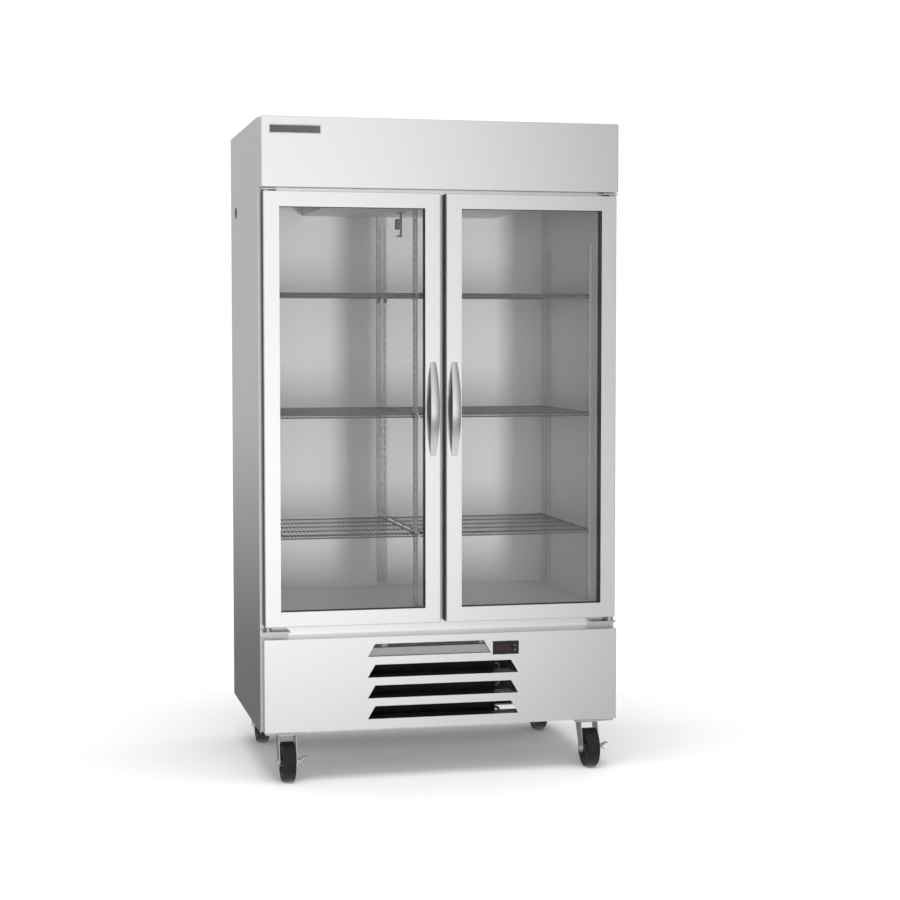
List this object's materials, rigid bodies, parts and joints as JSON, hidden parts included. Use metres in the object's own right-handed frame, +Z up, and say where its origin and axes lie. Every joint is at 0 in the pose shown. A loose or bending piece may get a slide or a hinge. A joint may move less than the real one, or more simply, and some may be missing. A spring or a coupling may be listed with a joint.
{
  "type": "glass door merchandiser",
  "caption": "Upright stainless display refrigerator with hinged glass doors, wire shelves, a louvred machine compartment below and swivel casters.",
  "frame": {"origin": "on the floor, in the middle of the whole object seen from above", "axes": "+Z up, +X to the right of a person facing the doors, -Y out through the doors"},
  "size_m": [1.194, 0.84, 2.14],
  "materials": {
    "stainless": "bright stainless sheet, fine vertical grain",
    "steel_side": "stainless side sheet, satin",
    "galvanised": "galvanised sheet, dull spangle",
    "liner": "plain aluminium liner sheet, satin",
    "foam": "rigid polyurethane foam, matt",
    "dark_frame": "dark thermal break profile, matt",
    "gasket": "black magnetic seal, soft",
    "pane": "clear sealed double pane",
    "handle_metal": "satin cast handle",
    "black_plastic": "black moulded plastic, semi-gloss",
    "screen": "dark red display window, glossy",
    "key": "grey rubbery keys",
    "badge": "plain maker's plate, satin with a raised rim",
    "shelf_wire": "light grey coated wire",
    "zinc": "zinc-plated pressed steel",
    "bracket_paint": "light grey painted strip",
    "tyre": "black elastic tyre, matt",
    "strip_steel": "slotted strip, duller than the walls",
    "coil_fins": "fin pack, dull",
    "blade": "dark fan blades",
    "motor": "black enamel",
    "probe": "grey probe and bracket"
  },
  "bodies": {
    "cabinet": {"left_side_panel": "steel_side", "right_side_panel": "steel_side", "back_panel": "galvanised", "top_panel": "galvanised", "foam_insulation": "foam", "inner_liner": "liner", "front_frame": "stainless", "center_mullion": "stainless", "header_panel": "stainless", "nameplate": "badge", "lower_panel": "stainless", "controller_case": "black_plastic", "controller_screen": "screen", "controller_bracket": "bracket_paint", "base_frame": "galvanised", "rear_grille": "galvanised", "condenser_coil": "coil_fins", "fan_motors": "motor", "compressor": "motor", "power_inlet": "black_plastic", "evaporator_housing": "liner", "evaporator_coil": "coil_fins", "temperature_probe": "probe", "shelf_standards": "strip_steel", "shelf_clips": "zinc", "hinge_brackets": "zinc", "caster_plates": "zinc", "port_cover": "black_plastic", "lower_left_shelf": "shelf_wire", "lower_right_shelf": "shelf_wire", "middle_left_shelf": "shelf_wire", "middle_right_shelf": "shelf_wire", "upper_left_shelf": "shelf_wire", "upper_right_shelf": "shelf_wire"},
    "left_door": {"left_door_face": "stainless", "left_door_core": "dark_frame", "left_door_glass": "pane", "left_door_gasket": "gasket", "left_door_handle": "handle_metal", "left_handle_plate": "black_plastic"},
    "right_door": {"right_door_face": "stainless", "right_door_core": "dark_frame", "right_door_glass": "pane", "right_door_gasket": "gasket", "right_door_handle": "handle_metal", "right_handle_plate": "black_plastic"},
    "front_left_swivel": {"front_left_caster_fork": "zinc"},
    "front_left_roller": {"front_left_wheel": "tyre"},
    "front_left_brake": {"front_left_brake_lever": "zinc"},
    "front_right_swivel": {"front_right_caster_fork": "zinc"},
    "front_right_roller": {"front_right_wheel": "tyre"},
    "front_right_brake": {"front_right_brake_lever": "zinc"},
    "rear_left_swivel": {"rear_left_caster_fork": "zinc"},
    "rear_left_roller": {"rear_left_wheel": "tyre"},
    "rear_right_swivel": {"rear_right_caster_fork": "zinc"},
    "rear_right_roller": {"rear_right_wheel": "tyre"},
    "evaporator_fan_rotor": {"evaporator_fan": "blade"},
    "condenser_fan_rotor": {"condenser_fan": "blade"},
    "down_key": {"temperature_down_button": "key"},
    "up_key": {"temperature_up_button": "key"}
  },
  "joints": [
    {"name": "left_door_hinge", "type": "hinge", "parent": "cabinet", "child": "left_door", "pos_m": [-0.5735, -0.36, 1.2], "axis": [0, 0, 1], "range_deg": [-120, 0], "stiffness_Nm_per_rad": 2, "springref_deg": 17.19},
    {"name": "right_door_hinge", "type": "hinge", "parent": "cabinet", "child": "right_door", "pos_m": [0.5735, -0.36, 1.2], "axis": [0, 0, 1], "range_deg": [0, 120], "stiffness_Nm_per_rad": 2, "springref_deg": -17.19},
    {"name": "front_left_swivel_turn", "type": "hinge", "parent": "cabinet", "child": "front_left_swivel", "pos_m": [-0.511, -0.3, 0.1486], "axis": [0, 0, 1], "continuous": true},
    {"name": "front_left_wheel_spin", "type": "hinge", "parent": "front_left_swivel", "child": "front_left_roller", "pos_m": [-0.511, -0.338, 0.0635], "axis": [1, 0, 0], "continuous": true},
    {"name": "front_left_brake_rock", "type": "hinge", "parent": "front_left_swivel", "child": "front_left_brake", "pos_m": [-0.471, -0.338, 0.0635], "axis": [0, 1, 0], "range_deg": [-12, 12]},
    {"name": "front_right_swivel_turn", "type": "hinge", "parent": "cabinet", "child": "front_right_swivel", "pos_m": [0.511, -0.3, 0.1486], "axis": [0, 0, 1], "continuous": true},
    {"name": "front_right_wheel_spin", "type": "hinge", "parent": "front_right_swivel", "child": "front_right_roller", "pos_m": [0.511, -0.338, 0.0635], "axis": [1, 0, 0], "continuous": true},
    {"name": "front_right_brake_rock", "type": "hinge", "parent": "front_right_swivel", "child": "front_right_brake", "pos_m": [0.551, -0.338, 0.0635], "axis": [0, 1, 0], "range_deg": [-12, 12]},
    {"name": "rear_left_swivel_turn", "type": "hinge", "parent": "cabinet", "child": "rear_left_swivel", "pos_m": [-0.511, 0.348, 0.1486], "axis": [0, 0, 1], "continuous": true},
    {"name": "rear_left_wheel_spin", "type": "hinge", "parent": "rear_left_swivel", "child": "rear_left_roller", "pos_m": [-0.511, 0.31, 0.0635], "axis": [1, 0, 0], "continuous": true},
    {"name": "rear_right_swivel_turn", "type": "hinge", "parent": "cabinet", "child": "rear_right_swivel", "pos_m": [0.511, 0.348, 0.1486], "axis": [0, 0, 1], "continuous": true},
    {"name": "rear_right_wheel_spin", "type": "hinge", "parent": "rear_right_swivel", "child": "rear_right_roller", "pos_m": [0.511, 0.31, 0.0635], "axis": [1, 0, 0], "continuous": true},
    {"name": "evaporator_fan_spin", "type": "hinge", "parent": "cabinet", "child": "evaporator_fan_rotor", "pos_m": [0, -0.136, 1.936], "axis": [0, 1, 0], "continuous": true},
    {"name": "condenser_fan_spin", "type": "hinge", "parent": "cabinet", "child": "condenser_fan_rotor", "pos_m": [-0.06, -0.224, 0.289], "axis": [0, 1, 0], "continuous": true},
    {"name": "down_key_press", "type": "slide", "parent": "cabinet", "child": "down_key", "axis": [0, 1, 0], "range_m": [0, 0.0005], "stiffness_N_per_m": 400},
    {"name": "up_key_press", "type": "slide", "parent": "cabinet", "child": "up_key", "axis": [0, 1, 0], "range_m": [0, 0.0005], "stiffness_N_per_m": 400}
  ]
}
